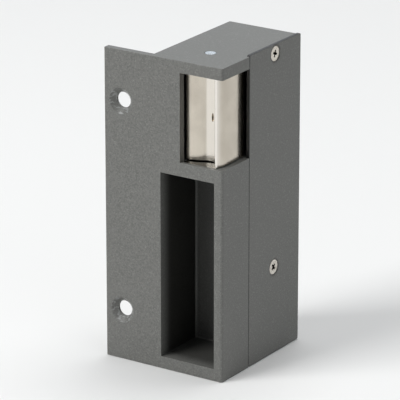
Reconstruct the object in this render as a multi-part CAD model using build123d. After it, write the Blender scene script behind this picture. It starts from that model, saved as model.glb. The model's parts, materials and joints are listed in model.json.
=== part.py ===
from build123d import *
import os

# Surface-mounted electric door strike for a horizontal rim lock, in millimetres.
# +Z is up. The lock stands in front of the -Y face and its bolts move along +Y. The door opens towards +X.
# The origin is the middle of the underside of the whole strike.

# ---- Driving dimensions: casting ----
HEIGHT = 108.0
WIDTH = 46.0
DEPTH = 47.5
BODY_WIDTH = 28.0
FLANGE_THICKNESS = 2.5
WALL = 2.5
FLOOR = 4.0
BRIDGE = 4.0
SOFT_EDGE = 0.9
SMALL_EDGE = 0.15

# ---- Driving dimensions: openings and fixings ----
WINDOW_WIDTH = 16.5
WINDOW_BOTTOM = 73.5
POCKET_RIGHT = 3.15
POCKET_LEFT = 24.15
POCKET_BOTTOM = 4.2
POCKET_TOP = 68.85
POCKET_DEPTH = 20.8
POCKET_BACK_WALL = 1.9
MOUNT_HOLE_SPACING = 73.0
MOUNT_HOLE_IN = 39.6
MOUNT_HOLE_RADIUS = 2.7
MOUNT_SINK_RADIUS = 4.5
CABLE_HOLE_RADIUS = 4.5
CABLE_HOLE_Y = 8.0
CABLE_HOLE_Z = 15.0
CABLE_RADIUS = 2.6

# ---- Driving dimensions: side cover ----
COVER_THICKNESS = 1.2
COVER_START = 16.0
COVER_FRONT_GAP = 0.35
COVER_BOTTOM_GAP = 0.1
COVER_PROUD = 0.4
COVER_EDGE = 0.25
COVER_CORNER = 0.6
COVER_SINK_RADIUS = 2.7
COVER_SCREW_SUNK = 0.2
COVER_SCREW_IN = 31.8
COVER_SCREW_HEIGHTS = (30.9, 105.2)
COVER_SCREW_TURNS = (50, 20)
COVER_SCREW_LENGTH = 8.0
M3_RADIUS = 1.5
M3_HOLE_RADIUS = 1.55
M3_HEAD_RADIUS = 2.5
PAN_HEAD_HEIGHT = 2.2
BOSS_RADIUS = 3.4

# ---- Driving dimensions: keeper ----
KEEPER_GAP = 0.4
KEEPER_PIN_IN_X = 13.2
KEEPER_PIN_IN_Y = 13.2
KEEPER_PIN_RADIUS = 2.0
KEEPER_HUB_RADIUS = 4.0
PIN_HOLE_DEPTH = 3.5
RUN_GAP = 0.05
TAIL_REACH = 7.5
TAIL_WIDTH = 3.0
TAIL_START = 2.5
TAIL_BOTTOM = 94.3
TAIL_TOP = 98.3
SPRING_ROOM_BOTTOM = 98.9
KEEPER_STEP_IN_Y = 5.95
KEEPER_SLOT_IN_X = 7.8
KEEPER_SLOT_Z = 88.8
KEEPER_SLOT_WIDTH = 0.7
KEEPER_SLOT_HEIGHT = 3.0
KEEPER_SLOT_DEPTH = 2.0
SPRING_ROOM_LEFT = 9.0
SPRING_ROOM_RIGHT = 7.9
SPRING_ROOM_FRONT = 4.5
SPRING_ROOM_BACK = 9.0
ANCHOR_HOLE_X = 3.0
ANCHOR_HOLE_Y = 4.0
ANCHOR_HOLE_DEPTH = 1.8
ANCHOR_HOLE_RADIUS = 0.75
SILL_PLATE_THICKNESS = 0.8
SILL_PLATE_SIDE_GAP = 0.3
SILL_PLATE_IN_X = 3.6
SILL_PLATE_IN_Y = 1.2
SILL_PLATE_BEHIND_PIN = 6.0

# ---- Driving dimensions: lock lever ----
LEVER_PIVOT_X = 1.2
LEVER_PIVOT_Z = 76.8
LEVER_PIN_RADIUS = 1.25
LEVER_HUB_RADIUS = 2.5
LEVER_FRONT = -6.2
LEVER_NOSE_BACK = -3.2
LEVER_TOE_FRONT = 5.6
LEVER_TOE_BACK = 10.6
LUG_THICKNESS = 2.3
CLIP_THICKNESS = 0.5
LEVER_SPRING_RADIUS = 3.1
LEVER_SPRING_Y = 0.2

# ---- Driving dimensions: solenoid ----
COIL_X = 9.0
COIL_Y = 8.1
RIB_BOTTOM = 27.3
RIB_TOP = 34.5
RIB_WIDTH = 7.2
YOKE_THICKNESS = 2.0
YOKE_WIDTH = 15.0
COIL_FLANGE_SIDE = 16.6
COIL_FLANGE_THICKNESS = 1.2
COIL_TUBE_RADIUS = 4.6
COIL_TOP = 60.5
WINDING_RADIUS = 7.6
WRAP_RADIUS = 7.9
CORE_RADIUS = 3.5
POLE_RADIUS = 4.2
POLE_TOP = 62.0
ARMATURE_PIN_X = 19.2
ARMATURE_PIN_Z = 64.3
ARMATURE_PIN_RADIUS = 0.8
ARMATURE_KNUCKLE_RADIUS = 1.9
ARMATURE_THICKNESS = 2.0
ARMATURE_END_X = 2.5
ARMATURE_REST_ANGLE = 6.5
ARMATURE_HALF_WIDTH = 5.6
AIR_GAP_CLOSED = 0.15

# ---- Driving dimensions: terminals ----
COIL_PIN_SPREAD = 8.0
COIL_PIN_RADIUS = 0.45
TERMINAL_BOTTOM = 24.5
TERMINAL_DEPTH = 8.0

# ---- Places worked out from the driving dimensions ----
RIGHT = WIDTH / 2
LEFT = -WIDTH / 2
BODY_LEFT = RIGHT - BODY_WIDTH
FRONT = -DEPTH / 2
BACK = DEPTH / 2
WINDOW_TOP = HEIGHT - BRIDGE
COVER_INNER = RIGHT - COVER_THICKNESS
CAVITY_LEFT = BODY_LEFT + WALL
CAVITY_BACK = BACK - WALL
COIL_ROOM_FRONT = FRONT + POCKET_DEPTH + POCKET_BACK_WALL
PIN_X = RIGHT - KEEPER_PIN_IN_X
PIN_Y = FRONT + KEEPER_PIN_IN_Y
PIN_BOTTOM = WINDOW_BOTTOM - PIN_HOLE_DEPTH
KEEPER_BOTTOM = WINDOW_BOTTOM + KEEPER_GAP
KEEPER_TOP = WINDOW_TOP - KEEPER_GAP
COVER_SCREW_Y = FRONT + COVER_SCREW_IN
MOUNT_HOLE_X = RIGHT - MOUNT_HOLE_IN
MOUNT_HOLE_HEIGHTS = (HEIGHT / 2 - MOUNT_HOLE_SPACING / 2, HEIGHT / 2 + MOUNT_HOLE_SPACING / 2)
SPRING_ANCHOR_Z = SPRING_ROOM_BOTTOM + 0.75
LUG_BACK = LEVER_FRONT - CLIP_THICKNESS - 0.5
LUG_FRONT = LUG_BACK - LUG_THICKNESS
YOKE_TOP_OF_LEG = RIB_TOP + YOKE_THICKNESS
COIL_PIN_XS = (COIL_X - COIL_PIN_SPREAD / 2, COIL_X + COIL_PIN_SPREAD / 2)
COIL_PIN_Y = COIL_Y + 6.4
TERMINAL_FRONT = COIL_Y + RIB_WIDTH / 2 + 0.3
TERMINAL_BACK = TERMINAL_FRONT + TERMINAL_DEPTH
TERMINAL_TOP = RIB_TOP - 0.2
CLAMP_Y = TERMINAL_FRONT + 4.2
CLAMP_Z = TERMINAL_BOTTOM + 3.0
UP = (0, 0, 1)
DOWN = (0, 0, -1)
INTO = (0, 1, 0)
OUT_FRONT = (0, -1, 0)
OUTWARD = (1, 0, 0)
LEFTWARD = (-1, 0, 0)


# ---- Small shape helpers ----
def block(x_low, x_high, y_low, y_high, z_low, z_high):
    """A box given by its lowest and highest corners."""
    size = (x_high - x_low, y_high - y_low, z_high - z_low)
    middle = ((x_low + x_high) / 2, (y_low + y_high) / 2, (z_low + z_high) / 2)
    return Pos(*middle) * Box(*size)


def rod(start, direction, length, radius, end_radius=None):
    """A round rod, or a cone where end_radius is given, from start along direction."""
    align = (Align.CENTER, Align.CENTER, Align.MIN)
    if end_radius is None:
        body = Cylinder(radius, length, align=align)
    else:
        body = Cone(radius, end_radius, length, align=align)
    return Plane(origin=start, z_dir=direction) * body


def ring(start, direction, length, radius, hole_radius):
    """A tube from start along direction."""
    return rod(start, direction, length, radius) - rod(start, direction, length, hole_radius)


def prism_z(face, z_low, z_high):
    """A flat outline in X and Y, raised from z_low to z_high."""
    return extrude(Pos(0, 0, z_low) * face, amount=z_high - z_low)


def prism_y(points, y_low, y_high):
    """An outline in X and Z, carried from y_low to y_high."""
    face = make_face(Polyline(*[(x, y_low, z) for x, z in points], close=True))
    return extrude(face, amount=y_high - y_low, dir=INTO)


def cross_recess(top, direction, width, depth, turn):
    """The cutter for a cross recess in a screw head: four wings and a deeper middle."""
    bar_width = 0.28 * width
    bars = Box(width, bar_width, 2 * depth) + Box(bar_width, width, 2 * depth)
    middle = Cone(0.3 * width, 0.1 * width, 2 * depth, align=(Align.CENTER, Align.CENTER, Align.MIN))
    return Plane(origin=top, z_dir=direction) * (Rot(0, 0, turn) * (bars + middle))


def flat_screw(top, direction, length, radius, head_radius, turn):
    """A countersunk screw: top is the middle of its flat head, direction is along its shank."""
    sink = head_radius - radius
    screw = rod(top, direction, sink, head_radius, radius) + rod(top, direction, length, radius)
    return screw - cross_recess(top, direction, head_radius, sink * 0.7, turn)


def wire_along(path, wire_radius):
    """Round wire along a path that starts at path @ 0."""
    section = Plane(origin=path @ 0, z_dir=path % 0) * Circle(wire_radius)
    return sweep(section, path=path)


def torsion_spring(radius, wire_radius, pitch, turns, first_leg, last_leg, last_foot=0):
    """A coil about Z with a straight leg at each end. last_foot bends the last leg's end along Z."""
    coil = Helix(pitch=pitch, height=pitch * turns, radius=radius)
    first = Line(coil @ 0 - (coil % 0) * first_leg, coil @ 0)
    leg_end = coil @ 1 + (coil % 1) * last_leg
    if last_foot:
        last = FilletPolyline(coil @ 1, leg_end, leg_end + Vector(0, 0, last_foot), radius=1.0)
    else:
        last = Line(coil @ 1, leg_end)
    return wire_along(Wire(first.edges() + coil.edges() + last.edges()), wire_radius)


def save(name, shape):
    """Write one node to its own STEP file."""
    shape.label = name
    export_step(shape, "parts/" + name + ".step")


# ---- Housing ----
def mount_hole(height):
    """A countersunk hole through the flange for a 5 mm wood screw."""
    start = (MOUNT_HOLE_X, FRONT, height)
    hole = rod(start, INTO, FLANGE_THICKNESS, MOUNT_HOLE_RADIUS)
    sink_depth = MOUNT_SINK_RADIUS - MOUNT_HOLE_RADIUS
    return hole + rod(start, INTO, sink_depth, MOUNT_SINK_RADIUS, MOUNT_HOLE_RADIUS)


def housing_outside():
    """The cast block with its mounting flange and softened outer edges."""
    shape = block(BODY_LEFT, RIGHT, FRONT, BACK, 0, HEIGHT)
    shape += block(LEFT, BODY_LEFT, FRONT, FRONT + FLANGE_THICKNESS, 0, HEIGHT)
    corner = shape.edges().filter_by(Axis.Z).filter_by_position(Axis.X, RIGHT - 0.01, RIGHT + 0.01)
    shape = fillet(corner.sort_by(Axis.Y)[0], SOFT_EDGE)
    front_edges = shape.faces().sort_by(Axis.Y)[0].edges()
    top_edges = shape.faces().sort_by(Axis.Z)[-1].edges()
    bottom_edges = shape.faces().sort_by(Axis.Z)[0].edges()
    return fillet(front_edges + top_edges + bottom_edges, SMALL_EDGE)


def keeper_chamber():
    """The room for the keeper and the lever, open at the front-right corner."""
    room = block(CAVITY_LEFT, COVER_INNER, FRONT + WALL, CAVITY_BACK, WINDOW_BOTTOM, WINDOW_TOP)
    mouth_left = RIGHT - WINDOW_WIDTH
    return room + block(mouth_left, RIGHT, FRONT, FRONT + COVER_START, WINDOW_BOTTOM, WINDOW_TOP)


def bolt_pocket():
    """The closed pocket that takes the lock's dead bolts."""
    low = RIGHT - POCKET_LEFT
    high = RIGHT - POCKET_RIGHT
    pocket = block(low, high, FRONT, FRONT + POCKET_DEPTH, POCKET_BOTTOM, POCKET_TOP)
    return fillet(pocket.faces().sort_by(Axis.Y)[-1].edges(), SOFT_EDGE)


def keeper_pin_holes():
    """The bearing holes for the keeper's pin, through the bridge and into the sill."""
    return rod((PIN_X, PIN_Y, PIN_BOTTOM), UP, HEIGHT - PIN_BOTTOM, KEEPER_PIN_RADIUS + RUN_GAP)


def cover_screw_bosses():
    """The bosses that the cover's screws go into: one on the roof and one across the coil room."""
    lower, upper = COVER_SCREW_HEIGHTS
    roof_start = (COVER_INNER - 10, COVER_SCREW_Y, upper)
    roof_boss = rod(roof_start, OUTWARD, 10, BOSS_RADIUS)
    roof_boss &= block(BODY_LEFT, RIGHT, FRONT, BACK, RIB_TOP, WINDOW_TOP + 1)
    rib_front = COIL_Y - RIB_WIDTH / 2
    rib = block(CAVITY_LEFT, COVER_INNER, rib_front, rib_front + RIB_WIDTH, RIB_BOTTOM, RIB_TOP)
    return roof_boss + rib


def lever_lug():
    """The lug on the chamber's floor that holds the front end of the lever's pin."""
    lug_right = LEVER_PIVOT_X + LEVER_HUB_RADIUS + 0.6
    lug_top = LEVER_PIVOT_Z + LEVER_HUB_RADIUS + 0.6
    return block(CAVITY_LEFT, lug_right, LUG_FRONT, LUG_BACK, WINDOW_BOTTOM, lug_top)


def spring_post():
    """The post under the bridge that the rear leg of the keeper's spring bears on."""
    return rod((PIN_X + 1.4, 0.5, SPRING_ROOM_BOTTOM + 0.3), UP, 6, 1.0)


def small_housing_holes():
    """Screw holes, the spring's anchor hole, the lever's pin hole, the coil's screw and the cable hole."""
    cutters = []
    for height in COVER_SCREW_HEIGHTS:
        start = (COVER_INNER, COVER_SCREW_Y, height)
        cutters.append(rod(start, LEFTWARD, COVER_SCREW_LENGTH, M3_HOLE_RADIUS))
    pivot_start = (LEVER_PIVOT_X, LUG_FRONT, LEVER_PIVOT_Z)
    cutters.append(rod(pivot_start, INTO, CAVITY_BACK + 1.5 - LUG_FRONT, LEVER_PIN_RADIUS + RUN_GAP))
    anchor_start = (CAVITY_LEFT, LEVER_SPRING_Y - 0.1, LEVER_PIVOT_Z + LEVER_SPRING_RADIUS)
    cutters.append(rod(anchor_start, LEFTWARD, 1.2, 0.6))
    cutters.append(rod((COIL_X, COIL_Y, RIB_BOTTOM), UP, RIB_WIDTH, M3_HOLE_RADIUS))
    cable_start = (BODY_LEFT, CABLE_HOLE_Y, CABLE_HOLE_Z)
    cutters.append(rod(cable_start, OUTWARD, WALL, CABLE_HOLE_RADIUS))
    return cutters


def housing():
    """The zinc casting."""
    shape = housing_outside()
    shape -= block(COVER_INNER, RIGHT, FRONT + COVER_START, BACK, 0, HEIGHT)
    shape -= keeper_chamber()
    coil_room = block(CAVITY_LEFT, COVER_INNER, COIL_ROOM_FRONT, CAVITY_BACK, FLOOR, WINDOW_BOTTOM)
    shape -= coil_room
    shape -= bolt_pocket()
    shape += cover_screw_bosses()
    shape += lever_lug()
    shape += spring_post()
    shape -= keeper_pin_holes()
    shape -= sill_plate_outline(SILL_PLATE_THICKNESS)
    for height in MOUNT_HOLE_HEIGHTS:
        shape -= mount_hole(height)
    for cutter in small_housing_holes():
        shape -= cutter
    return shape


def cable_grommet():
    """The rubber grommet in the cable hole, with a groove that grips the wall."""
    lip = 1.1
    start_x = BODY_LEFT + 0.2
    grommet = rod((start_x, CABLE_HOLE_Y, CABLE_HOLE_Z), OUTWARD, WALL - 0.2, CABLE_HOLE_RADIUS - 0.02)
    grommet += rod((CAVITY_LEFT, CABLE_HOLE_Y, CABLE_HOLE_Z), OUTWARD, 1.2, CABLE_HOLE_RADIUS + lip)
    inner_start = (CAVITY_LEFT + 1.2, CABLE_HOLE_Y, CABLE_HOLE_Z)
    grommet += rod(inner_start, OUTWARD, 2.0, CABLE_HOLE_RADIUS - 0.3, CABLE_RADIUS + 0.8)
    return grommet - rod((start_x, CABLE_HOLE_Y, CABLE_HOLE_Z), OUTWARD, 10, CABLE_RADIUS)


# ---- Side cover and its screws ----
def side_cover():
    """The flat steel cover over the mechanism, slightly taller than the casting."""
    top = HEIGHT + COVER_PROUD
    front = FRONT + COVER_START + COVER_FRONT_GAP
    cover = block(COVER_INNER, RIGHT, front, BACK, COVER_BOTTOM_GAP, top)
    cover = fillet(cover.edges().filter_by(Axis.X), COVER_CORNER)
    cover = fillet(cover.faces().sort_by(Axis.X)[-1].edges(), COVER_EDGE)
    for height in COVER_SCREW_HEIGHTS:
        start = (RIGHT, COVER_SCREW_Y, height)
        cover -= rod(start, LEFTWARD, COVER_THICKNESS, COVER_SINK_RADIUS, COVER_SINK_RADIUS - COVER_THICKNESS)
    return cover


def cover_screws():
    """The two M3 countersunk screws of the cover."""
    screws = []
    for height, turn in zip(COVER_SCREW_HEIGHTS, COVER_SCREW_TURNS):
        top = (RIGHT - COVER_SCREW_SUNK, COVER_SCREW_Y, height)
        screws.append(flat_screw(top, LEFTWARD, COVER_SCREW_LENGTH, M3_RADIUS, M3_HEAD_RADIUS, turn))
    return Compound(children=screws)


# ---- Keeper ----
def in_plan(from_right, from_front):
    """A point in plan, measured in from the right face and the front face."""
    return (RIGHT - from_right, FRONT + from_front)


def keeper_outline():
    """The keeper seen from above: recess with its step, rounded lip, outer side and rear edge."""
    recess_left = in_plan(16.5, 3.8)
    recess_bend = in_plan(12.8, 4.55)
    step_left = in_plan(10.0, KEEPER_STEP_IN_Y)
    step_right = in_plan(6.2, 6.55)
    lip_root = in_plan(5.2, 5.5)
    lip_inside = in_plan(4.05, 2.1)
    lip_front = in_plan(3.4, 1.3)
    lip_outside = in_plan(2.75, 2.0)
    shoulder = in_plan(2.25, 3.6)
    outer_front = in_plan(1.95, 5.8)
    outer_middle = in_plan(1.95, 9.2)
    outer_back = in_plan(2.4, 16.6)
    rear_corner = in_plan(2.9, 17.1)
    rear_inner = in_plan(12.0, 17.15)
    hub_left = in_plan(KEEPER_PIN_IN_X + KEEPER_HUB_RADIUS, KEEPER_PIN_IN_Y)
    side_left = in_plan(17.1, 4.9)
    with BuildLine() as outline:
        ThreePointArc(recess_left, recess_bend, step_left)
        Line(step_left, step_right)
        SagittaArc(step_right, lip_root, -0.3)
        Line(lip_root, lip_inside)
        ThreePointArc(lip_inside, lip_front, lip_outside)
        ThreePointArc(lip_outside, shoulder, outer_front)
        ThreePointArc(outer_front, outer_middle, outer_back)
        Line(outer_back, rear_corner)
        Line(rear_corner, rear_inner)
        RadiusArc(rear_inner, hub_left, -KEEPER_HUB_RADIUS)
        Line(hub_left, side_left)
        Line(side_left, recess_left)
    return make_face(outline.line)


def keeper_spring_room():
    """The room above the hub for the return spring, inside the keeper's front and outer walls."""
    left = PIN_X - SPRING_ROOM_LEFT
    right = PIN_X + SPRING_ROOM_RIGHT
    front = PIN_Y - SPRING_ROOM_FRONT
    return block(left, right, front, PIN_Y + SPRING_ROOM_BACK, SPRING_ROOM_BOTTOM, KEEPER_TOP)


def keeper_tail():
    """The tail behind the hub that the lock lever holds."""
    right = PIN_X + TAIL_WIDTH
    return block(PIN_X, right, PIN_Y + TAIL_START, PIN_Y + TAIL_REACH, TAIL_BOTTOM, TAIL_TOP)


def keeper_slot():
    """The narrow upright slot in the step of the recess, pointed at both ends."""
    mouth = (RIGHT - KEEPER_SLOT_IN_X, FRONT + KEEPER_STEP_IN_Y, KEEPER_SLOT_Z)
    outline = Ellipse(KEEPER_SLOT_WIDTH / 2, KEEPER_SLOT_HEIGHT / 2)
    opening = Plane(origin=mouth, x_dir=OUTWARD, z_dir=INTO) * outline
    return extrude(opening, amount=KEEPER_SLOT_DEPTH)


def keeper():
    """The keeper in one piece: recess, lip, outer side, hub and tail."""
    shape = prism_z(keeper_outline(), KEEPER_BOTTOM, KEEPER_TOP)
    shape += keeper_tail()
    shape -= keeper_spring_room()
    shape -= rod((PIN_X, PIN_Y, KEEPER_BOTTOM), UP, KEEPER_TOP - KEEPER_BOTTOM, KEEPER_PIN_RADIUS)
    shape -= keeper_slot()
    anchor_start = (PIN_X + ANCHOR_HOLE_X, PIN_Y - ANCHOR_HOLE_Y, SPRING_ANCHOR_Z - 0.25)
    return shape - rod(anchor_start, OUT_FRONT, ANCHOR_HOLE_DEPTH, ANCHOR_HOLE_RADIUS)


def keeper_pin():
    """The steel pin that turns in the casting with the keeper."""
    pin = rod((PIN_X, PIN_Y, PIN_BOTTOM + 0.1), UP, HEIGHT - PIN_BOTTOM - 0.1, KEEPER_PIN_RADIUS)
    return chamfer(pin.edges(), 0.2)


def keeper_spring():
    """The torsion spring that turns the keeper back: a coil about the pin with two straight legs."""
    spring = torsion_spring(3.0, 0.45, 0.95, 3, 5.6, 12.0)
    return Pos(PIN_X, PIN_Y, SPRING_ANCHOR_Z) * spring


def sill_plate_outline(thickness):
    """The polished wear plate let into the sill, under the keeper."""
    left = RIGHT - WINDOW_WIDTH + SILL_PLATE_SIDE_GAP
    right = RIGHT - SILL_PLATE_IN_X
    front = FRONT + SILL_PLATE_IN_Y
    back = PIN_Y + SILL_PLATE_BEHIND_PIN
    return block(left, right, front, back, WINDOW_BOTTOM - thickness, WINDOW_BOTTOM)


def sill_plate():
    """The wear plate with the hole for the keeper's pin."""
    plate = sill_plate_outline(SILL_PLATE_THICKNESS)
    return plate - rod((PIN_X, PIN_Y, PIN_BOTTOM), UP, 10, KEEPER_PIN_RADIUS + RUN_GAP)


# ---- Lock lever ----
def lock_lever():
    """The two-armed lever that blocks the keeper's tail until the armature lets its toe pass."""
    hub_back = CAVITY_BACK - 0.4
    hub = rod((LEVER_PIVOT_X, LEVER_FRONT, LEVER_PIVOT_Z), INTO, hub_back - LEVER_FRONT, LEVER_HUB_RADIUS)
    nose_x = PIN_X - 0.35
    nose = [(-0.9, 78.2), (3.0, 75.4), (nose_x, 92.0), (nose_x, 99.4), (6.6, 99.4)]
    toe = [(-0.7, 76.0), (-0.4, 64.6), (1.6, 66.0), (3.9, 70.5), (3.6, 76.6)]
    lever = hub + prism_y(nose, LEVER_FRONT, LEVER_NOSE_BACK)
    lever += prism_y(toe, LEVER_TOE_FRONT, LEVER_TOE_BACK)
    bore_start = (LEVER_PIVOT_X, LEVER_FRONT, LEVER_PIVOT_Z)
    return lever - rod(bore_start, INTO, hub_back - LEVER_FRONT, LEVER_PIN_RADIUS + RUN_GAP)


def lever_pin():
    """The lever's pin, with a groove for its clip."""
    start = (LEVER_PIVOT_X, LUG_FRONT - 0.3, LEVER_PIVOT_Z)
    pin = rod(start, INTO, CAVITY_BACK + 1.4 - start[1], LEVER_PIN_RADIUS)
    groove_start = (LEVER_PIVOT_X, LUG_BACK + 0.2, LEVER_PIVOT_Z)
    return pin - ring(groove_start, INTO, CLIP_THICKNESS + 0.1, LEVER_PIN_RADIUS + 1, LEVER_PIN_RADIUS - 0.3)


def lever_clip():
    """The open clip in the pin's groove."""
    start = (LEVER_PIVOT_X, LUG_BACK + 0.25, LEVER_PIVOT_Z)
    clip = ring(start, INTO, CLIP_THICKNESS, LEVER_PIN_RADIUS + 1.3, LEVER_PIN_RADIUS - 0.28)
    mouth = block(-0.9 + LEVER_PIVOT_X, 0.9 + LEVER_PIVOT_X, -10, 0, LEVER_PIVOT_Z, LEVER_PIVOT_Z + 4)
    return clip - mouth


def lever_spring():
    """The torsion spring on the lever's hub: one leg in the casting, one bent over the lower arm."""
    spring = torsion_spring(LEVER_SPRING_RADIUS, 0.3, 0.8, 3.25, 4.5, 5.0, 6.0)
    start = (LEVER_PIVOT_X, LEVER_SPRING_Y, LEVER_PIVOT_Z)
    return Plane(origin=start, x_dir=OUTWARD, z_dir=INTO) * (Rot(0, 0, -90) * spring)


# ---- Solenoid ----
def yoke():
    """The bent steel frame: a leg under the coil, a leg beside it, and two ears for the armature's pin."""
    front = COIL_Y - YOKE_WIDTH / 2
    back = COIL_Y + YOKE_WIDTH / 2
    side_out = ARMATURE_PIN_X + 1.9
    side_in = side_out - YOKE_THICKNESS
    frame = block(0.6, side_out, front, back, RIB_TOP, YOKE_TOP_OF_LEG)
    frame += block(side_in, side_out, front, back, RIB_TOP, ARMATURE_PIN_Z - ARMATURE_KNUCKLE_RADIUS - 0.3)
    for ear_front in (front, back - 1.5):
        ear = block(ARMATURE_PIN_X - 1.9, side_out, ear_front, ear_front + 1.5, 59.0, ARMATURE_PIN_Z + 2.0)
        frame += ear
    pin_start = (ARMATURE_PIN_X, front, ARMATURE_PIN_Z)
    frame -= rod(pin_start, INTO, YOKE_WIDTH, ARMATURE_PIN_RADIUS + RUN_GAP)
    frame -= rod((COIL_X, COIL_Y, RIB_TOP), UP, YOKE_THICKNESS, M3_HOLE_RADIUS)
    for pin_x in COIL_PIN_XS:
        frame -= rod((pin_x, COIL_PIN_Y, RIB_TOP), UP, YOKE_THICKNESS, 1.0)
    return frame


def core():
    """The soft iron core with its wider pole face, tapped from below."""
    bar = rod((COIL_X, COIL_Y, YOKE_TOP_OF_LEG), UP, POLE_TOP - YOKE_TOP_OF_LEG, CORE_RADIUS)
    pole = rod((COIL_X, COIL_Y, COIL_TOP + 0.05), UP, POLE_TOP - COIL_TOP - 0.05, POLE_RADIUS)
    tapping = rod((COIL_X, COIL_Y, YOKE_TOP_OF_LEG), UP, 7, M3_HOLE_RADIUS)
    return bar + pole - tapping


def core_screw():
    """The M3 pan-head screw that holds the core, the yoke and the coil on the rib."""
    length = YOKE_TOP_OF_LEG - RIB_BOTTOM + 6
    screw = rod((COIL_X, COIL_Y, RIB_BOTTOM), UP, length, M3_RADIUS)
    screw += rod((COIL_X, COIL_Y, RIB_BOTTOM - PAN_HEAD_HEIGHT), UP, PAN_HEAD_HEIGHT, M3_HEAD_RADIUS)
    return screw - cross_recess((COIL_X, COIL_Y, RIB_BOTTOM - PAN_HEAD_HEIGHT), UP, 2.8, 0.8, 20)


def bobbin():
    """The plastic bobbin: a tube with two square flanges."""
    half = COIL_FLANGE_SIDE / 2
    bottom = YOKE_TOP_OF_LEG
    shape = rod((COIL_X, COIL_Y, bottom), UP, COIL_TOP - bottom, COIL_TUBE_RADIUS)
    for low in (bottom, COIL_TOP - COIL_FLANGE_THICKNESS):
        high = low + COIL_FLANGE_THICKNESS
        flange = block(COIL_X - half, COIL_X + half, COIL_Y - half, COIL_Y + half, low, high)
        shape += fillet(flange.edges().filter_by(Axis.Z), 1.5)
    shape -= rod((COIL_X, COIL_Y, bottom), UP, COIL_TOP - bottom, CORE_RADIUS + RUN_GAP)
    for pin_x in COIL_PIN_XS:
        shape -= rod((pin_x, COIL_PIN_Y, bottom), UP, COIL_FLANGE_THICKNESS, COIL_PIN_RADIUS)
    return shape


def winding():
    """The copper winding, as one closed ring."""
    low = YOKE_TOP_OF_LEG + COIL_FLANGE_THICKNESS
    length = COIL_TOP - COIL_FLANGE_THICKNESS - low
    return ring((COIL_X, COIL_Y, low), UP, length, WINDING_RADIUS, COIL_TUBE_RADIUS)


def winding_wrap():
    """The insulating tape around the winding."""
    low = YOKE_TOP_OF_LEG + COIL_FLANGE_THICKNESS + 0.3
    length = COIL_TOP - COIL_FLANGE_THICKNESS - 0.3 - low
    return ring((COIL_X, COIL_Y, low), UP, length, WRAP_RADIUS, WINDING_RADIUS)


def coil_pins():
    """The two contact pins that join the winding to the terminals."""
    bottom = TERMINAL_TOP - 4.0
    length = YOKE_TOP_OF_LEG + COIL_FLANGE_THICKNESS - bottom
    pins = [rod((pin_x, COIL_PIN_Y, bottom), UP, length, COIL_PIN_RADIUS) for pin_x in COIL_PIN_XS]
    return Compound(children=pins)


def terminal_block():
    """The moulded block for the supply cable, with a wire hole and a screw hole at each pole."""
    left = COIL_PIN_XS[0] - 3.6
    right = COIL_PIN_XS[1] + 3.6
    shape = block(left, right, TERMINAL_FRONT, TERMINAL_BACK, TERMINAL_BOTTOM, TERMINAL_TOP)
    shape = chamfer(shape.edges().filter_by(Axis.X), 0.5)
    for pin_x in COIL_PIN_XS:
        cage = clamp_box(pin_x, 0.05)
        shape -= cage
        shape -= rod((pin_x, CLAMP_Y, TERMINAL_BOTTOM), UP, 4, 1.3)
        shape -= rod((pin_x, COIL_PIN_Y, TERMINAL_TOP - 4.5), UP, 4.6, 0.7)
        shape -= rod((pin_x, TERMINAL_BACK, CLAMP_Z), (0, -1, 0), 4, 1.7)
    return shape


def clamp_box(pin_x, margin):
    """The outline of one metal clamp, grown by margin on each side."""
    half_x = 2.0 + margin
    half_y = 2.2 + margin
    return block(
        pin_x - half_x, pin_x + half_x, CLAMP_Y - half_y, CLAMP_Y + half_y,
        CLAMP_Z - 1.8 - margin, CLAMP_Z + 1.8 + margin)


def terminal_clamps():
    """The two brass clamps inside the block."""
    clamps = []
    for pin_x in COIL_PIN_XS:
        clamp = clamp_box(pin_x, 0)
        clamp -= rod((pin_x, CLAMP_Y + 3, CLAMP_Z + 0.3), (0, -1, 0), 6, 1.2)
        clamp -= rod((pin_x, CLAMP_Y, CLAMP_Z), DOWN, 3, 1.05)
        clamps.append(clamp)
    return Compound(children=clamps)


def terminal_screws():
    """The two clamping screws, worked from below with a slotted driver."""
    screws = []
    for pin_x in COIL_PIN_XS:
        start = (pin_x, CLAMP_Y, TERMINAL_BOTTOM + 0.3)
        screw = rod(start, UP, 2.0, 1.0)
        slot = block(pin_x - 1.2, pin_x + 1.2, CLAMP_Y - 0.2, CLAMP_Y + 0.2, 0, TERMINAL_BOTTOM + 0.8)
        screws.append(screw - slot)
    return Compound(children=screws)


# ---- Armature ----
def armature():
    """The hinged plate that the core pulls down. It is shaped closed, then turned to its rest angle."""
    low = POLE_TOP + AIR_GAP_CLOSED
    high = low + ARMATURE_THICKNESS
    end = ARMATURE_END_X
    side = [(end, low), (ARMATURE_PIN_X, low), (ARMATURE_PIN_X, high), (end + 0.6, high), (end, high - 0.4)]
    front = COIL_Y - ARMATURE_HALF_WIDTH
    back = COIL_Y + ARMATURE_HALF_WIDTH
    plate = prism_y(side, front, back)
    knuckle_start = (ARMATURE_PIN_X, front, ARMATURE_PIN_Z)
    plate += rod(knuckle_start, INTO, back - front, ARMATURE_KNUCKLE_RADIUS)
    plate -= rod(knuckle_start, INTO, back - front, ARMATURE_PIN_RADIUS + RUN_GAP)
    hinge = Axis((ARMATURE_PIN_X, 0, ARMATURE_PIN_Z), INTO)
    return plate.rotate(hinge, ARMATURE_REST_ANGLE)


def armature_pin():
    """The armature's hinge pin, through both ears of the yoke."""
    start = (ARMATURE_PIN_X, COIL_Y - YOKE_WIDTH / 2 - 0.4, ARMATURE_PIN_Z)
    return rod(start, INTO, YOKE_WIDTH + 0.8, ARMATURE_PIN_RADIUS)


def armature_spring():
    """The small compression spring that lifts the armature off the core."""
    wire = 0.2
    coil = wire_along(Helix(pitch=0.7, height=2.8, radius=1.0), wire)
    return Pos(3.5, COIL_Y, COIL_TOP + wire + 0.02) * coil


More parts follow.
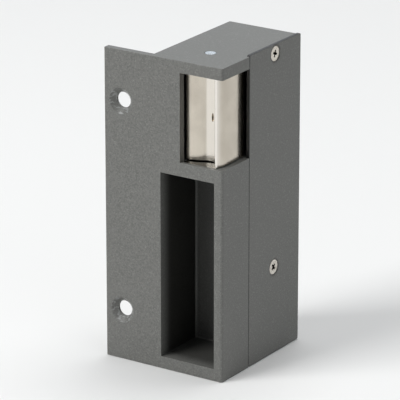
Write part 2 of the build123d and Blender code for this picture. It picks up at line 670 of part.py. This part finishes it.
NODES = {
    "housing": housing,
    "cable_grommet": cable_grommet,
    "side_cover": side_cover,
    "cover_screws": cover_screws,
    "sill_plate": sill_plate,
    "keeper": keeper,
    "keeper_pin": keeper_pin,
    "keeper_spring": keeper_spring,
    "lock_lever": lock_lever,
    "lever_pin": lever_pin,
    "lever_clip": lever_clip,
    "lever_spring": lever_spring,
    "armature": armature,
    "armature_pin": armature_pin,
    "armature_spring": armature_spring,
    "yoke": yoke,
    "core": core,
    "core_screw": core_screw,
    "bobbin": bobbin,
    "winding": winding,
    "winding_wrap": winding_wrap,
    "coil_pins": coil_pins,
    "terminal_block": terminal_block,
    "terminal_clamps": terminal_clamps,
    "terminal_screws": terminal_screws,
}

os.makedirs("parts", exist_ok=True)
for node_name, make_node in NODES.items():
    save(node_name, make_node())
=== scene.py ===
import bpy
import json
import math
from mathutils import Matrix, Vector


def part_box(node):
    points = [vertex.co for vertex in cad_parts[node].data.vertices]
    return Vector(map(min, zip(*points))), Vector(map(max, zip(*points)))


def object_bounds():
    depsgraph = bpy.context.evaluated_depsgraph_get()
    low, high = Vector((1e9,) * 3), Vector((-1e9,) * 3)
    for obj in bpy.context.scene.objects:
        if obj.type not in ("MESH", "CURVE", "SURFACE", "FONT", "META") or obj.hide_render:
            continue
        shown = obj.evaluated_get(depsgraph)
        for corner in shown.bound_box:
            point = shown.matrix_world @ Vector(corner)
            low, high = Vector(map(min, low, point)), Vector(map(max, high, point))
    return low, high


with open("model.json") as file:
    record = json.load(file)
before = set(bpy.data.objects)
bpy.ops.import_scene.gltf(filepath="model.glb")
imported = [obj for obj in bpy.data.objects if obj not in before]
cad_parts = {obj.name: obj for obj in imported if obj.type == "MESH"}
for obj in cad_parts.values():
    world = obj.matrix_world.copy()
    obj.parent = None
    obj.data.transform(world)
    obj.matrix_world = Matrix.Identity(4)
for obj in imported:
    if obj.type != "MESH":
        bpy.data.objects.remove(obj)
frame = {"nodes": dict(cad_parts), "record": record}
cad_low, cad_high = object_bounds()

MM = 0.001

# ---- Camera ----
CAMERA_AZIMUTH = math.radians(33.36)
CAMERA_ELEVATION = math.radians(19.26)
CAMERA_FROM_RIGHT_FRONT = Vector((559.5, -862.9, 423.2)) * MM
CAMERA_LENS = 303.4

# ---- Light ----
WORLD_COLOUR = (0.93, 0.96, 1.0, 1)
WORLD_STRENGTH = 0.25
FLOOR_COLOUR = (0.84, 0.84, 0.83, 1)
FLOOR_HALF_SIDE = 4.0
FLOOR_DROP = 0.1 * MM

# ---- Places from the frame ----
RIGHT = cad_high.x
FRONT = cad_low.y
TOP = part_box("housing")[1].z
MOUNTS = {mount["name"]: mount for mount in frame["record"]["mounts"]}
OPENINGS = {opening["name"]: opening for opening in frame["record"]["physics"]["openings"]}

# ---- Paint and metal, in linear colour, and lengths in millimetres ----
CLOUD_LOW = 0.3
CLOUD_HIGH = 0.7
BARE_SHARE = 0.35
CORNER_HIGHLIGHT_SHARE = 0.7
JAMB_SHADE_SHARE = 0.4
EDGE_WEAR_SHARE = 0.55
PAINT_DARK = (0.108, 0.109, 0.101, 1)
PAINT_LIGHT = (0.166, 0.167, 0.156, 1)
PAINT_CLOUD = (0.148, 0.147, 0.138, 1)
PAINT_FLECK = (0.42, 0.42, 0.40, 1)
PAINT_WORN = (0.32, 0.32, 0.30, 1)
# Painted shade in the bolt pocket, darkest on its left wall and fading in from the front
POCKET_SHADE = (0.010, 0.010, 0.008, 1)
POCKET_FADE = 6.5
# Painted highlight: a pale line in the bolt pocket's back corners
CORNER_LINE = 0.35
CORNER_HIGHLIGHT = (0.12, 0.12, 0.11, 1)
POCKET_MARGIN = Vector((0.35, 0.45, 0.4)) * MM
BARE_ZINC = (0.52, 0.53, 0.53, 1)
SINK_RADIUS = 4.6
CUT_EDGE = (0.02, 0.02, 0.02, 1)
# Painted shade in each screw's cross recess and in a ring round each screw head
SCREW_SHADE_RADIUS = 3.5
SCREW_SHADE = (0.022, 0.018, 0.012, 1)
SCREW_DARK = (0.55, 0.51, 0.44, 1)
SCREW_LIGHT = (0.78, 0.74, 0.68, 1)
NICKEL_DARK = (0.53, 0.48, 0.41, 1)
NICKEL_LIGHT = (0.61, 0.56, 0.48, 1)
# Satin nickel: the colour of rubbed edges, also used as a painted highlight across the step, with a
# brighter painted highlight on the lip
NICKEL_RUBBED_AND_SHEEN = (0.76, 0.72, 0.66, 1)
NICKEL_LIP_HIGHLIGHT = (0.87, 0.83, 0.78, 1)
SHEEN_START = 10.4
SHEEN_END = 2.2
LIP_WIDTH = 4.4
# Painted shade on the window's left jamb
JAMB_SHADE = (0.05, 0.045, 0.035, 1)
JAMB_MARGIN = 0.7
JAMB_DEPTH = 4.5


def make_camera():
    """The camera looks along one direction from a place measured from the front-right lower corner."""
    data = bpy.data.cameras.new("camera")
    data.lens = CAMERA_LENS
    data.clip_start = 0.05
    data.clip_end = 20
    camera = bpy.data.objects.new("camera", data)
    flat = math.cos(CAMERA_ELEVATION)
    back = Vector((
        math.sin(CAMERA_AZIMUTH) * flat, -math.cos(CAMERA_AZIMUTH) * flat, math.sin(CAMERA_ELEVATION)))
    camera.location = Vector((RIGHT, FRONT, 0)) + CAMERA_FROM_RIGHT_FRONT
    camera.rotation_mode = "QUATERNION"
    camera.rotation_quaternion = (-back).to_track_quat("-Z", "Y")
    bpy.context.scene.collection.objects.link(camera)
    bpy.context.scene.camera = camera


def make_area_light(name, place, power, side, colour=(1, 1, 1)):
    """A square soft light that faces the object."""
    data = bpy.data.lights.new(name, "AREA")
    data.energy = power
    data.size = side
    data.color = colour
    light = bpy.data.objects.new(name, data)
    light.location = place
    aim = Vector((0, 0, TOP / 2)) - Vector(place)
    light.rotation_mode = "QUATERNION"
    light.rotation_quaternion = aim.to_track_quat("-Z", "Y")
    bpy.context.scene.collection.objects.link(light)


def make_stage():
    """The pale floor, the soft world and the studio lights."""
    world = bpy.data.worlds.new("studio")
    world.use_nodes = True
    background = world.node_tree.nodes["Background"]
    background.inputs["Color"].default_value = WORLD_COLOUR
    background.inputs["Strength"].default_value = WORLD_STRENGTH
    bpy.context.scene.world = world
    bpy.context.scene.view_settings.view_transform = "Standard"

    half = FLOOR_HALF_SIDE
    mesh = bpy.data.meshes.new("floor")
    corners = [(-half, -half, -FLOOR_DROP), (half, -half, -FLOOR_DROP), (half, half, -FLOOR_DROP),
               (-half, half, -FLOOR_DROP)]
    mesh.from_pydata(corners, [], [(0, 1, 2, 3)])
    floor = bpy.data.objects.new("floor", mesh)
    bpy.context.scene.collection.objects.link(floor)
    material = bpy.data.materials.new("floor_paper")
    material.use_nodes = True
    shader = material.node_tree.nodes["Principled BSDF"]
    shader.inputs["Base Color"].default_value = FLOOR_COLOUR
    shader.inputs["Roughness"].default_value = 0.9
    mesh.materials.append(material)

    make_area_light("key_light", (-0.75, -1.25, 1.25), 26, 0.9)
    make_area_light("top_light", (0.1, 0.35, 1.5), 11.5, 1.0)
    make_area_light("right_light", (1.3, -0.5, 0.7), 1.5, 0.9, (0.94, 0.97, 1.0))
    make_area_light("back_light", (-1.15, 1.75, 0.8), 4.5, 1.2, (0.9, 0.95, 1.0))


class Surface:
    """A material in the making, with short calls that add and join its nodes."""

    def __init__(self, name, metallic=0.0):
        self.material = bpy.data.materials.new(name)
        self.material.use_nodes = True
        self.tree = self.material.node_tree
        self.shader = self.tree.nodes["Principled BSDF"]
        self.shader.inputs["Metallic"].default_value = metallic
        self.place = self.add("ShaderNodeTexCoord").outputs["Object"]

    def add(self, kind, **settings):
        node = self.tree.nodes.new(kind)
        for key, value in settings.items():
            setattr(node, key, value)
        return node

    def join(self, source, target):
        self.tree.links.new(source, target)

    def feed(self, target, value):
        """Joins an output to a socket, or sets the socket where value is a number or a colour."""
        if isinstance(value, bpy.types.NodeSocket):
            self.join(value, target)
        else:
            target.default_value = value

    def noise(self, cell, detail=3.0, stretch=(1, 1, 1)):
        """Noise whose grains are about cell millimetres across, stretched along the axes."""
        mapping = self.add("ShaderNodeMapping")
        self.join(self.place, mapping.inputs["Vector"])
        mapping.inputs["Scale"].default_value = [1 / part for part in stretch]
        texture = self.add("ShaderNodeTexNoise")
        self.join(mapping.outputs["Vector"], texture.inputs["Vector"])
        texture.inputs["Scale"].default_value = 1 / (cell * MM)
        texture.inputs["Detail"].default_value = detail
        return texture.outputs["Fac"]

    def flecks(self, cell, share):
        """1 in a random share of small cells and 0 elsewhere."""
        texture = self.add("ShaderNodeTexVoronoi")
        self.join(self.place, texture.inputs["Vector"])
        texture.inputs["Scale"].default_value = 1 / (cell * MM)
        separate = self.add("ShaderNodeSeparateColor")
        self.join(texture.outputs["Color"], separate.inputs["Color"])
        return self.maths("GREATER_THAN", separate.outputs["Red"], 1 - share)

    def maths(self, operation, first, second=0.0, third=0.0):
        node = self.add("ShaderNodeMath", operation=operation)
        for socket, value in zip(node.inputs, (first, second, third)):
            self.feed(socket, value)
        return node.outputs["Value"]

    def between(self, value, low, high, out_low=0.0, out_high=1.0):
        """Carries low..high to out_low..out_high smoothly, and holds it there outside."""
        node = self.add("ShaderNodeMapRange", interpolation_type="SMOOTHSTEP")
        self.join(value, node.inputs["Value"])
        limits = {"From Min": low, "From Max": high, "To Min": out_low, "To Max": out_high}
        for name, number in limits.items():
            node.inputs[name].default_value = number
        return node.outputs["Result"]

    def mix(self, factor, first, second):
        """A colour between first and second."""
        node = self.add("ShaderNodeMix", data_type="RGBA")
        sockets = [socket for socket in node.inputs if socket.enabled]
        for socket, value in zip(sockets, (factor, first, second)):
            self.feed(socket, value)
        return [socket for socket in node.outputs if socket.enabled][0]

    def edges(self, radius):
        """1 along the piece's edges and 0 on its flats, over radius millimetres."""
        bevel = self.add("ShaderNodeBevel", samples=6)
        bevel.inputs["Radius"].default_value = radius * MM
        geometry = self.add("ShaderNodeNewGeometry")
        dot = self.add("ShaderNodeVectorMath", operation="DOT_PRODUCT")
        self.join(bevel.outputs["Normal"], dot.inputs[0])
        self.join(geometry.outputs["Normal"], dot.inputs[1])
        return self.between(dot.outputs["Value"], 0.995, 0.9)

    def axis_distance(self, point, axis):
        """The distance in millimetres from a line through point along X, Y or Z."""
        shift = self.add("ShaderNodeVectorMath", operation="SUBTRACT")
        self.join(self.place, shift.inputs[0])
        shift.inputs[1].default_value = point
        flatten = self.add("ShaderNodeVectorMath", operation="MULTIPLY")
        self.join(shift.outputs["Vector"], flatten.inputs[0])
        flatten.inputs[1].default_value = [0 if name == axis else 1 / MM for name in "XYZ"]
        length = self.add("ShaderNodeVectorMath", operation="LENGTH")
        self.join(flatten.outputs["Vector"], length.inputs[0])
        return length.outputs["Value"]

    def coordinate(self, axis):
        """The place along X, Y or Z, in millimetres."""
        separate = self.add("ShaderNodeSeparateXYZ")
        self.join(self.place, separate.inputs["Vector"])
        return self.maths("MULTIPLY", separate.outputs[axis], 1 / MM)

    def inside(self, low, high):
        """1 in the box from low to high, and 0 outside it."""
        shift = self.add("ShaderNodeVectorMath", operation="SUBTRACT")
        self.join(self.place, shift.inputs[0])
        shift.inputs[1].default_value = (Vector(low) + Vector(high)) / 2
        size = self.add("ShaderNodeVectorMath", operation="ABSOLUTE")
        self.join(shift.outputs["Vector"], size.inputs[0])
        share = self.add("ShaderNodeVectorMath", operation="DIVIDE")
        self.join(size.outputs["Vector"], share.inputs[0])
        share.inputs[1].default_value = (Vector(high) - Vector(low)) / 2
        parts = self.add("ShaderNodeSeparateXYZ")
        self.join(share.outputs["Vector"], parts.inputs["Vector"])
        largest = self.maths("MAXIMUM", parts.outputs["X"], parts.outputs["Y"])
        largest = self.maths("MAXIMUM", largest, parts.outputs["Z"])
        return self.maths("LESS_THAN", largest, 1.0)

    def facing(self, direction):
        """1 where the surface faces direction, 0 side on, and -1 where it faces away."""
        geometry = self.add("ShaderNodeNewGeometry")
        dot = self.add("ShaderNodeVectorMath", operation="DOT_PRODUCT")
        self.join(geometry.outputs["Normal"], dot.inputs[0])
        dot.inputs[1].default_value = direction
        return dot.outputs["Value"]

    def bump(self, height, depth, strength=1.0):
        """Relief that stands depth millimetres between the height's 0 and 1."""
        node = self.add("ShaderNodeBump")
        node.inputs["Strength"].default_value = strength
        node.inputs["Distance"].default_value = depth * MM
        self.join(height, node.inputs["Height"])
        return node.outputs["Normal"]

    def finish(self, colour, roughness, normal=None, metallic=None):
        self.feed(self.shader.inputs["Base Color"], colour)
        self.feed(self.shader.inputs["Roughness"], roughness)
        if normal is not None:
            self.join(normal, self.shader.inputs["Normal"])
        if metallic is not None:
            self.feed(self.shader.inputs["Metallic"], metallic)
        return self.material


def paint_coat(surface):
    """Fine textured grey paint: colour, roughness and the grain that both follow."""
    grain = surface.noise(0.5, 5)
    cloud = surface.noise(16, 3)
    colour = surface.mix(surface.between(grain, CLOUD_LOW, CLOUD_HIGH), PAINT_DARK, PAINT_LIGHT)
    colour = surface.mix(surface.between(cloud, CLOUD_LOW, CLOUD_HIGH, 0.0, 0.3), colour, PAINT_CLOUD)
    flecks = surface.maths("MULTIPLY", surface.flecks(0.3, 0.08), 0.16)
    colour = surface.mix(flecks, colour, PAINT_FLECK)
    roughness = surface.between(grain, 0.25, 0.75, 0.38, 0.56)
    return colour, roughness, grain


def casting_paint():
    """The casting's paint: worn at edges and countersinks, with painted shade in the bolt pocket and on the
    left jamb, and a painted highlight line in the pocket's back corners.
    """
    surface = Surface("casting_paint")
    colour, roughness, grain = paint_coat(surface)

    patches = surface.between(surface.noise(1.4, 3), 0.35, 0.7)
    worn = surface.maths("MULTIPLY", surface.edges(0.3), patches)
    colour = surface.mix(surface.maths("MULTIPLY", worn, EDGE_WEAR_SHARE), colour, PAINT_WORN)

    # Painted shade: the pocket darkens with depth, on its left wall, back wall and floor, each by its own
    # share
    pocket = OPENINGS["bolt_pocket"]["box_m"]
    margin = Vector((0.8, 0.8, 0.8)) * MM
    in_pocket = surface.inside(Vector(pocket[0]) - margin, Vector(pocket[1]) + margin)
    depth = surface.between(surface.coordinate("Y"), FRONT / MM + 0.2, FRONT / MM + POCKET_FADE)
    side_wall = surface.between(surface.facing((1, 0, 0)), 0.5, 0.9, 0.66, 0.95)
    back_wall = surface.between(surface.facing((0, -1, 0)), 0.5, 0.9, 1.0, 0.86)
    walls = surface.maths("MULTIPLY", side_wall, back_wall)
    painted_pocket_shade = surface.maths("MULTIPLY", surface.maths("MULTIPLY", in_pocket, depth), walls)
    colour = surface.mix(painted_pocket_shade, colour, POCKET_SHADE)

    # Painted highlight: a pale line along the pocket's back corners, up the left wall and across the floor
    corner = Vector((pocket[0][0], pocket[1][1], pocket[0][2])) + Vector((-1, 1, -1)) * POCKET_MARGIN
    line = CORNER_LINE * MM
    start = corner - Vector((line, line, line))
    end = corner + Vector((line, line, line))
    upright = surface.inside(start, (end.x, end.y, pocket[1][2]))
    level = surface.inside(start, (pocket[1][0], end.y, end.z))
    lines = surface.maths("MULTIPLY", surface.maths("MAXIMUM", upright, level), CORNER_HIGHLIGHT_SHARE)
    colour = surface.mix(lines, colour, CORNER_HIGHLIGHT)

    # Painted shade on the window's left jamb, the face beside the keeper that looks to the right
    plate_low, plate_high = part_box("sill_plate")
    keeper_low, keeper_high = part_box("keeper")
    jamb_low = (plate_low.x - JAMB_MARGIN * MM, FRONT, keeper_low.z - JAMB_MARGIN * MM)
    jamb_high = (plate_low.x, FRONT + JAMB_DEPTH * MM, keeper_high.z + JAMB_MARGIN * MM)
    jamb = surface.maths("MULTIPLY", surface.inside(jamb_low, jamb_high), surface.facing((1, 0, 0)))
    jamb = surface.between(jamb, 0.5, 0.9, 0.0, JAMB_SHADE_SHARE)
    colour = surface.mix(jamb, colour, JAMB_SHADE)

    screws = MOUNTS["flange_screws"]
    middle = Vector(screws["pos_m"])
    half_spacing = Vector((0, 0, screws["dims"]["spacing_y_mm"] / 2)) * MM
    distances = [surface.axis_distance(middle + half_spacing * side, "Y") for side in (-1, 1)]
    nearest = surface.maths("MINIMUM", *distances)
    in_sink = surface.between(nearest, SINK_RADIUS, SINK_RADIUS - 0.2)
    scrapes = surface.between(surface.noise(0.9, 2, (2.5, 1, 1)), 0.5, 0.62)
    bare = surface.maths("MULTIPLY", in_sink, surface.maths("MULTIPLY", scrapes, BARE_SHARE))
    colour = surface.mix(bare, colour, BARE_ZINC)
    metallic = surface.maths("MULTIPLY", bare, 0.6)
    return surface.finish(colour, roughness, surface.bump(grain, 0.05, 0.45), metallic)


def cover_paint():
    """The cover's paint: bare dark edges, and a painted ring of shade round each screw head."""
    surface = Surface("cover_paint")
    colour, roughness, grain = paint_coat(surface)
    sideways = surface.maths("ABSOLUTE", surface.facing((1, 0, 0)))
    cut_edge = surface.between(sideways, 0.8, 0.35)
    colour = surface.mix(cut_edge, colour, CUT_EDGE)
    # Painted shade: a patchy dark ring round each screw head, where it sits sunk in the cover
    distances = [surface.axis_distance(place, "X") for place in screw_places()]
    nearest = surface.maths("MINIMUM", *distances)
    ring = surface.between(nearest, SCREW_SHADE_RADIUS, SCREW_SHADE_RADIUS - 0.7, 0.0, 0.75)
    ring_shade = surface.maths("MULTIPLY", ring, surface.between(surface.noise(0.8, 3), 0.3, 0.6))
    colour = surface.mix(ring_shade, colour, SCREW_SHADE)
    return surface.finish(colour, roughness, surface.bump(grain, 0.05, 0.35))


def screw_places():
    """The middle of each cover screw's head: the node's two solids lie one above the other."""
    low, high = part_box("cover_screws")
    middle_y = (low.y + high.y) / 2
    radius = (high.y - low.y) / 2
    return [Vector((high.x, middle_y, height)) for height in (low.z + radius, high.z - radius)]


def screw_finish():
    """Bright plated screws, with painted shade in the recess and dents round it."""
    surface = Surface("plated_screw", metallic=1.0)
    cloud = surface.noise(0.7, 3)
    colour = surface.mix(surface.between(cloud, CLOUD_LOW, CLOUD_HIGH), SCREW_DARK, SCREW_LIGHT)
    low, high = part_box("cover_screws")
    # Painted shade in the cross recess below the head's face
    below_head = surface.between(surface.coordinate("X"), high.x / MM - 0.05, high.x / MM - 0.25)
    distances = [surface.axis_distance(place, "X") for place in screw_places()]
    nearest = surface.maths("MINIMUM", *distances)
    in_recess = surface.maths("MULTIPLY", below_head, surface.between(nearest, 1.5, 1.3))
    colour = surface.mix(in_recess, colour, SCREW_SHADE)
    rough = surface.between(cloud, 0.25, 0.75, 0.18, 0.36)
    return surface.finish(colour, rough, surface.bump(cloud, 0.04, 0.5))


def metal(name, dark, light, roughness, cell=3.0, streak=(1, 1, 1), depth=0.01, wear=None):
    """Bare or plated metal: clouded colour, fine streaks, and brighter rubbed edges."""
    surface = Surface(name, metallic=1.0)
    cloud = surface.noise(cell, 3)
    lines = surface.noise(0.25, 3, streak)
    colour = surface.mix(surface.between(cloud, CLOUD_LOW, CLOUD_HIGH), dark, light)
    if wear is not None:
        rubbed = surface.maths("MULTIPLY", surface.edges(0.3), surface.between(cloud, 0.35, 0.65))
        colour = surface.mix(rubbed, colour, wear)
    rough = surface.between(lines, 0.25, 0.75, roughness[0], roughness[1])
    normal = surface.bump(lines, depth, 0.4)
    return surface.finish(colour, rough, normal)


def keeper_finish():
    """Satin nickel: clouded and warm, with a painted highlight on the step and the lip."""
    surface = Surface("satin_nickel", metallic=1.0)
    cloud = surface.noise(7, 3)
    lines = surface.noise(0.25, 3, (1, 1, 30))
    colour = surface.mix(surface.between(cloud, CLOUD_LOW, CLOUD_HIGH), NICKEL_DARK, NICKEL_LIGHT)
    # Painted highlight: a brighter band across the step and the lip, brightest on the lip
    from_left = surface.coordinate("X")
    begin = surface.between(from_left, RIGHT / MM - SHEEN_START, RIGHT / MM - SHEEN_START + 0.8)
    end = surface.between(from_left, RIGHT / MM - SHEEN_END, RIGHT / MM - SHEEN_END - 1.4)
    band = surface.maths("MULTIPLY", begin, end)
    colour = surface.mix(surface.maths("MULTIPLY", band, 0.8), colour, NICKEL_RUBBED_AND_SHEEN)
    lip_begin = surface.between(from_left, RIGHT / MM - LIP_WIDTH, RIGHT / MM - LIP_WIDTH + 0.5)
    colour = surface.mix(surface.maths("MULTIPLY", lip_begin, end), colour, NICKEL_LIP_HIGHLIGHT)
    rubbed = surface.maths("MULTIPLY", surface.edges(0.3), surface.between(cloud, 0.35, 0.65))
    colour = surface.mix(rubbed, colour, NICKEL_RUBBED_AND_SHEEN)
    rough = surface.between(lines, 0.25, 0.75, 0.14, 0.26)
    return surface.finish(colour, rough, surface.bump(lines, 0.003, 0.4))


def moulded(name, dark, light, roughness, cell=0.4, depth=0.02):
    """Moulded plastic or rubber with a fine grain."""
    surface = Surface(name)
    grain = surface.noise(cell, 3)
    cloud = surface.noise(6, 2)
    colour = surface.mix(surface.between(cloud, CLOUD_LOW, CLOUD_HIGH), dark, light)
    rough = surface.between(grain, 0.25, 0.75, roughness[0], roughness[1])
    return surface.finish(colour, rough, surface.bump(grain, depth, 0.5))


make_camera()
make_stage()

CASTING_PAINT = casting_paint()
COVER_PAINT = cover_paint()
SCREW = screw_finish()
KEEPER_NICKEL = keeper_finish()
STEEL = metal(
    "plated_steel", (0.55, 0.52, 0.47, 1), (0.74, 0.71, 0.66, 1), (0.2, 0.4), 1.5, (1, 1, 1), 0.01,
    (0.85, 0.82, 0.78, 1))
PIN = metal("ground_steel", (0.42, 0.45, 0.47, 1), (0.56, 0.60, 0.63, 1), (0.2, 0.35), 1.2)
POLISHED = metal(
    "polished_steel", (0.6, 0.58, 0.54, 1), (0.7, 0.68, 0.64, 1), (0.04, 0.12), 3, (1, 12, 1), 0.002)
BLACK = metal("black_oxide", (0.02, 0.02, 0.02, 1), (0.05, 0.05, 0.05, 1), (0.35, 0.5), 0.8)
SPRING = metal("spring_steel", (0.35, 0.35, 0.36, 1), (0.5, 0.5, 0.5, 1), (0.25, 0.4), 1.0)
BRASS = metal("brass", (0.6, 0.45, 0.2, 1), (0.75, 0.6, 0.3, 1), (0.25, 0.4), 1.0)
COPPER = metal("copper_wire", (0.6, 0.25, 0.12, 1), (0.75, 0.36, 0.18, 1), (0.2, 0.35), 1.0)
NYLON = moulded("natural_nylon", (0.6, 0.56, 0.44, 1), (0.7, 0.66, 0.55, 1), (0.4, 0.55))
TAPE = moulded("coil_tape", (0.5, 0.36, 0.05, 1), (0.62, 0.46, 0.08, 1), (0.25, 0.35))
RUBBER = moulded("black_rubber", (0.015, 0.015, 0.015, 1), (0.03, 0.03, 0.03, 1), (0.6, 0.75))
BLOCK = moulded("black_polyamide", (0.02, 0.022, 0.025, 1), (0.035, 0.038, 0.042, 1), (0.4, 0.55))

FINISHES = {
    "painted_casting": CASTING_PAINT,
    "painted_cover": COVER_PAINT,
    "black_rubber": RUBBER,
    "screw_steel": SCREW,
    "polished_steel": POLISHED,
    "keeper_nickel": KEEPER_NICKEL,
    "pin_steel": PIN,
    "black_steel": BLACK,
    "spring_steel": SPRING,
    "lever_steel": STEEL,
    "zinc_plate": PIN,
    "bobbin_plastic": NYLON,
    "copper_wire": COPPER,
    "coil_tape": TAPE,
    "tinned_pins": PIN,
    "terminal_plastic": BLOCK,
    "terminal_brass": BRASS,
}

for part in frame["record"]["subparts"]:
    mesh = frame["nodes"][part["node"]].data
    mesh.materials.clear()
    mesh.materials.append(FINISHES[part["material_slot"]])
